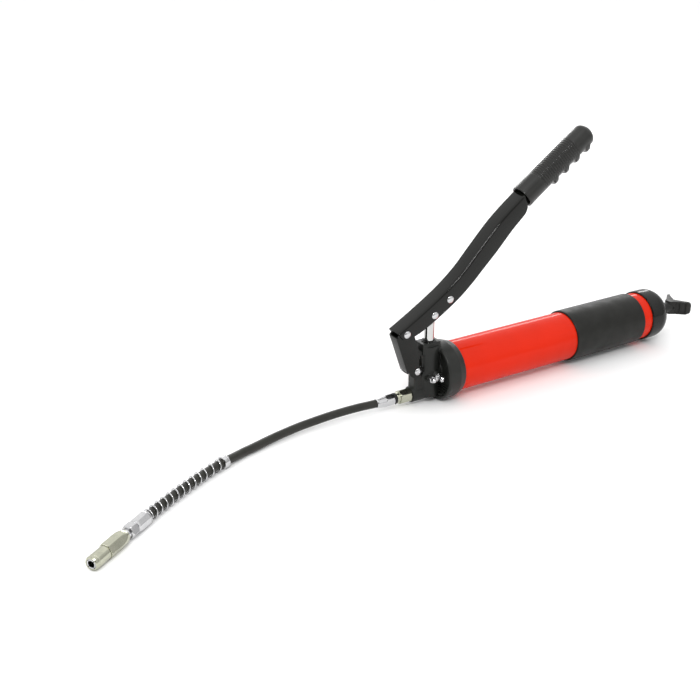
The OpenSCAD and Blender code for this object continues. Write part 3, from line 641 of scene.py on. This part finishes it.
# How far the tube goes into the collar and into the cap
IN_COLLAR, IN_CAP = 15, 5
SLEEVE_R, SLEEVE_START, SLEEVE_END = 30.5, 163, 271
CAP_R, CAP_INNER_R = 30.5, 28.5
CAP_SKIRT, CAP_END, CAP_WALL = LENGTH + 15, LENGTH + 37, 2
ROD_BORE = 6.01


def red_tube():
    spans = 24
    pitch = (LENGTH + IN_COLLAR + IN_CAP) / spans
    wall = [(BARREL_IN, -IN_COLLAR), (BARREL_R, -IN_COLLAR)]
    wall += [(BARREL_R, k * pitch - IN_COLLAR) for k in range(1, spans)]
    wall += [(BARREL_R, LENGTH + IN_CAP, 0.3), (BARREL_IN, LENGTH + IN_CAP, 0.3)]
    turned("red_tube", wall, BARREL, RED, "gun", "barrel", slot="red_paint", segs=160)


def rubber_sleeve():
    low, high, lip, edge = SLEEVE_START, SLEEVE_END, SLEEVE_R - 0.6, 0.9
    outline = [(BARREL_R, low), (lip, low, 0.4), (SLEEVE_R, low + edge, 0.7), (SLEEVE_R, low + 30),
               (SLEEVE_R, high - 30), (SLEEVE_R, high - edge, 0.7), (lip, high, 0.4), (BARREL_R, high)]
    turned("rubber_sleeve", outline, BARREL, RUBBER, "gun", "barrel_grip", slot="black_rubber",
           segs=160)


def dome(radius, end, last, angles):
    """Points of a part ellipse from the cap's skirt, which reaches end at the last angle."""
    rise = (end - CAP_SKIRT) / math.sin(math.radians(last))
    return [(radius * math.cos(math.radians(a)), CAP_SKIRT + rise * math.sin(math.radians(a)))
            for a in angles]


def domed_cap():
    mouth = BARREL_R + 0.02
    cap = [(mouth, LENGTH), (CAP_R - 1, LENGTH, 0.3), (CAP_R, LENGTH + 0.9, 0.5), (CAP_R, LENGTH + 8)]
    cap += dome(CAP_R, CAP_END, 76, range(0, 76, 4))
    cap += [(7.1, CAP_END, 0.4), (ROD_BORE, CAP_END, 0.3), (ROD_BORE, CAP_END - CAP_WALL),
            (8, CAP_END - CAP_WALL)]
    cap += dome(CAP_INNER_R, CAP_END - CAP_WALL, 74, range(72, -1, -6))
    cap += [(CAP_INNER_R, LENGTH + 6), (mouth, LENGTH + 5)]
    turned("domed_cap", cap, BARREL, BLACK, "gun", "end_cap", slot="black_paint", segs=160)


def follower_spring():
    """The coil behind the follower, drawn at one length, though the real one shortens as the follower comes
    back.
    """
    wire, radius, turns, steps, travel = 1.3, 21, 11, 40, 170
    front, rear = (corner.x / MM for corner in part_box("follower_spring"))
    rise = rear - front - 2 * wire
    path = []
    for i in range(turns * steps + 1):
        a = 2 * math.pi * i / steps
        path.append(Vector((front + wire + rise * i / (turns * steps),
                            radius * math.sin(a), HZ / MM - radius * math.cos(a))) * MM)
    v, f = tube(path, wire * MM, 12)
    coil = keep(finish_mesh("follower_coil", v, f, SPRING, 60), "gun", "follower_spring",
                slot="spring_steel")
    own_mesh(coil)


red_tube()
rubber_sleeve()
domed_cap()
follower_spring()
softened("pull_wings", "rod_handle", 0.0004, 6, PLASTIC, "pull_rod", slot="black_plastic")


# ---------------------------------------------------------------- head

softened("head_casting", "pump_head", 0.0005, 7, CAST, "gun", slot="black_casting")
UPRIGHT = Matrix.Translation(gun(-31, 0, 0))


def head_trim():
    """The gland on the pump cylinder, and the two fittings on its near side."""
    gland = [(6.03, 30.3), (7.4, 30.3), (7.4, 38.5), (8.1, 38.5, 0.2), (8.1, 39.3, 0.3), (6.9, 39.3, 0.3),
             (6.03, 38.6)]
    turned("gland", gland, UPRIGHT, BLACK, "gun", "gland_ring", slot="black_paint", sharp=40)
    nipple = along(gun(-28, -13.5, 0), (0, -1, 0))
    shape = [(1.4, -6.3), (3, -6.3), (3, 0), (4.5, 0, 0.1), (5.1, 0.4), (5.4, 0.9), (5.4, 3.6),
             (5.1, 4.1), (4.2, 4.5, 0.1), (2.7, 4.6, 0.2), (2.6, 6.2, 0.3), (2.3, 7.3, 0.3),
             (3.2, 9.0, 0.3), (3.25, 11.0, 0.5), (1.8, 12.5, 0.3), (0.9, 12.6), (0.8, 11.4),
             (1.4, 10.6)]
    turned("filler_fitting", shape, nipple, ZINC, "gun", "filler_nipple", slot="bright_steel", segs=72,
           flats=(6, 4.75, 0, 0.3, 4.2))
    vent = along(gun(-36.5, -13.5, -1), (0, -1, 0))
    shape = [(1.25, -5.5), (2.5, -5.5), (2.5, 0), (3.2, 0, 0.1), (3.7, 0.4), (4.0, 0.9), (4.0, 3.6),
             (3.7, 4.1), (3.0, 4.5, 0.1), (1.25, 4.5)]
    turned("vent_body", shape, vent, ZINC, "gun", "bleeder_body", slot="bright_steel", segs=72,
           flats=(6, 3.5, 0, 0.3, 4.2))
    shape = [(0, -4), (1.0, -4, 0.2), (1.2, -3.6, 0.1), (1.2, 6), (2.4, 6, 0.1), (2.6, 6.3, 0.1),
             (2.6, 7.3, 0.3), (1.8, 8.3, 0.3), (0, 8.5)]
    turned("vent_button", shape, vent, ZINC, "bleeder_plunger", "bleeder_pin", slot="bright_steel", segs=48)


head_trim()


# ---------------------------------------------------------------- linkage

# Pivots in the gun's X-Z plane
HEAD_PIVOT, LINK_PIVOT = Vector((-50, 8.5)), Vector((-66.5, 56.5))
PLUNGER_PIVOT, RIVET_POINT = Vector((-31, 71)), Vector((-11.5, 85.5))
LINK_LENGTH = (LINK_PIVOT - HEAD_PIVOT).length
LINK_UP = (LINK_PIVOT - HEAD_PIVOT).normalized()
LINK_FRONT = Vector((-LINK_UP.y, LINK_UP.x))
LINK_HALF, LEVER_HALF = 8.3, 10.5
GRIP_START, GRIP_TILT = Vector((88, 181.5)), math.radians(35.2)
GRIP_DIR = Vector((math.cos(GRIP_TILT), math.sin(GRIP_TILT)))
PRESSED_EDGE = 0.22 * MM


def in_link(x, y):
    """A point x up the link from the head's pivot and y in front of it."""
    return HEAD_PIVOT + LINK_UP * x + LINK_FRONT * y


def arc(centre, radius, start, end, steps):
    """Points of an arc, its angles in degrees."""
    angles = [math.radians(start + (end - start) * k / steps) for k in range(steps + 1)]
    return [centre + radius * Vector((math.cos(a), math.sin(a))) for a in angles]


def link():
    front, back, bend, half, thick = 12.2, 8.6, 2.0, LINK_HALF, 2.1
    lower = [in_link(*p) for p in arc(Vector((0, 0)), 7.4, -180, -60, 14)]
    upper = [in_link(*p) for p in arc(Vector((LINK_LENGTH, 0)), 5.7, -75, 60, 16)]
    outline = lower + [in_link(12, -back), in_link(LINK_LENGTH - 8, -back)] + upper
    outline += [in_link(*p) for p in (
        (LINK_LENGTH + 3.6, 6), (LINK_LENGTH + 1, front - bend), (6, front - bend),
        (1.5, front - 1.4), (-2.5, front - 3.5), (-6.5, 6))]
    stations = (5, 12, 20, 30, 40, LINK_LENGTH + 1)
    web = channel([in_link(x, front) for x in stations], [in_link(x, front - bend) for x in stations],
                  half, thick, bend)
    v, f = joined(plate(outline, -half, thick - half), plate(outline, half - thick, half), web)
    keep(finish_mesh("link_pressing", v, f, BLACK, 40, bevel=PRESSED_EDGE), "link_arm", "link",
         slot="black_paint")


def lever():
    stations = 60
    top = smooth([Vector(p) for p in (
        (-77.8, 59.4), (-48, 76.5), (-18, 95.5), (5, 114), (24, 133.8), (45.5, 156), (62, 170.5),
        (83.5, 186.9))], 8)
    low = arc(LINK_PIVOT, 7, -150, -62, 6)
    low += smooth([Vector(p) for p in (
        (-50, 55), (-32.6, 63.8), (-3.8, 81.8), (15.4, 97.1), (31.2, 112.2), (49.3, 129.6),
        (68.5, 149.7), (81.2, 161.2), (86.8, 167), (88.6, 173))], 6)
    v, f = channel(resample(top, stations), resample(low, stations), LEVER_HALF, 1.8, 2.8)
    keep(finish_mesh("lever_pressing", v, f, BLACK, 40, bevel=PRESSED_EDGE), "lever_arm", "lever",
         slot="black_paint")


def lever_tang():
    """The lever's narrow end, inside the grip."""
    half_height = 6.8 * Vector((-GRIP_DIR.y, GRIP_DIR.x))
    middle = [GRIP_START + GRIP_DIR * s for s in (-5, 20, 40, 60)]
    v, f = channel([p + half_height for p in middle], [p - half_height for p in middle], 8, 1.8, 2.6)
    keep(finish_mesh("lever_tang", v, f, BLACK, 40), "lever_arm", slot="black_paint")


# Along the grip from its mouth
GRIP_LENGTH, GRIP_DOME, GRIP_R = 109, 9, 13.0
LIP_R, LIP_END = 13.3, 3
RIBS_START, RIBS_END, RIB_PITCH, RIB_DEPTH = 24, 82, 2.9, 0.8
STOPS, FIRST_STOP, STOP_PITCH, STOP_HEIGHT = 4, 41.5, 17.4, 4.4


def grip_radius(s, theta):
    """Grip radius in mm at s along it and theta round it, with 0 at the top."""
    dome_start = GRIP_LENGTH - GRIP_DOME
    if s < 1:
        r = LIP_R - 0.5 + 0.5 * math.sqrt(1 - (1 - s) ** 2)
    elif s < LIP_END:
        r = LIP_R
    elif s < RIBS_START:
        r = LIP_R - (LIP_R - GRIP_R) * (s - LIP_END) / (RIBS_START - LIP_END)
    elif s <= dome_start:
        r = GRIP_R
    else:
        r = GRIP_R * math.sqrt(max(0.0, 1 - ((s - dome_start) / GRIP_DOME) ** 2))
    down = -math.cos(theta)
    if RIBS_START < s < RIBS_END:
        # The ribs cover the top and the sides, and fade out over 2 mm at their ends
        cover = max(0.0, min(1.0, (0.36 - down) / 0.2))
        fade = min(1.0, (s - RIBS_START) / 2, (RIBS_END - s) / 2)
        r += RIB_DEPTH / 2 * cover * fade * (math.cos(2 * math.pi * s / RIB_PITCH) - 1)
    for i in range(STOPS):
        off = s - (FIRST_STOP + STOP_PITCH * i)
        if abs(off) < 8 and down > 0.3:
            r += STOP_HEIGHT * math.exp(-(off / 3.7) ** 4) * ((down - 0.3) / 0.7) ** 1.3
    return r


def lever_grip():
    segs, dome_start = 112, GRIP_LENGTH - GRIP_DOME
    # Rings close together at the lip, then evenly spaced, then by angle round the dome
    marks = [0.25 * k for k in range(17)]
    marks += [4.5 + 0.3 * k for k in range(math.ceil((dome_start - 4.5) / 0.3))]
    marks += [dome_start + GRIP_DOME * math.sin(math.pi / 2 * k / 14) for k in range(15)]
    ahead = Vector((GRIP_DIR.x, 0, GRIP_DIR.y))
    up = Vector((-GRIP_DIR.y, 0, GRIP_DIR.x))
    side = Vector((0, 1, 0))
    base = gun(GRIP_START.x, 0, GRIP_START.y)
    angles = [2 * math.pi * k / segs for k in range(segs)]

    def ring_point(s, theta, r):
        return base + (ahead * s + up * r * math.cos(theta) + side * r * math.sin(theta)) * MM

    # The hollow mouth, from its bottom out to the lip, then the outside
    verts = [ring_point(s, t, r) for s, r in ((5.0, 11.0), (0.8, 11.2), (0.0, 11.9)) for t in angles]
    verts += [ring_point(s, t, grip_radius(s, t)) for s in marks for t in angles]
    faces = [tuple(range(segs))]
    for start in range(0, len(verts) - segs, segs):
        for k in range(segs):
            j = (k + 1) % segs
            faces.append((start + k, start + segs + k, start + segs + j, start + j))
    keep(finish_mesh("grip_moulding", verts, faces, GRIP, 50), "lever_arm", "lever_grip",
         slot="black_rubber")


def rivet(name, at, half, body, node):
    """A pin through a pressing that is 2 half wide, with a low domed head at each end."""
    head = [(0, -half - 1.7), (1.6, -half - 1.66), (3.0, -half - 1.35), (3.9, -half - 0.8),
            (4.3, -half - 0.25), (4.3, -half), (3.0, -half)]
    profile = head + [(r, -a) for r, a in reversed(head)]
    turned(name, profile, axis_matrix(gun(at.x, 0, at.y), (0, 1, 0)), ZINC, body, node,
           slot="bright_steel", segs=72, sharp=50)


def plunger():
    """The bar is a trace thinner than its CAD node, clear of the bore that smoothing has narrowed."""
    bar = softened("plunger_bar", "plunger", 0.0003, 4, CHROME, "plunger_rod", slot="bright_steel")
    low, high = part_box("plunger")
    middle, share = (low.x + high.x) / 2, 0.97
    for vertex in bar.data.vertices:
        vertex.co.x = middle + (vertex.co.x - middle) * share
        vertex.co.y *= share


link()
lever()
lever_tang()
lever_grip()
plunger()
rivet("head_rivet", HEAD_PIVOT, LINK_HALF + 0.15, "gun", "head_pin")
rivet("link_rivet", LINK_PIVOT, LEVER_HALF, "lever_arm", "link_pin")
rivet("plunger_rivet", PLUNGER_PIVOT, LEVER_HALF, "lever_arm", "plunger_pin")
rivet("lever_end_rivet", RIVET_POINT, LEVER_HALF, "lever_arm", "lever_rivet")


# ---------------------------------------------------------------- CAD nodes that stay

STAYS = {
    "plunger_packing": PACKING, "head_gasket": SEAL, "rod_bushing": BRASS,
    "follower_cup": SEAL, "follower_plate": SPRING, "follower_nut": SPRING,
    "follower_rod": ZINC, "handle_pin": PLASTIC, "lever_spacer": SPRING, "check_ball": CHROME,
    "check_spring": SPRING, "filler_ball": CHROME, "coupler_jaws": ZINC, "coupler_seal": SEAL,
    "coupler_piston": BRASS, "coupler_spring": SPRING,
}
for node, mat in STAYS.items():
    for entry in NODES[node].material_slots:
        entry.material = mat
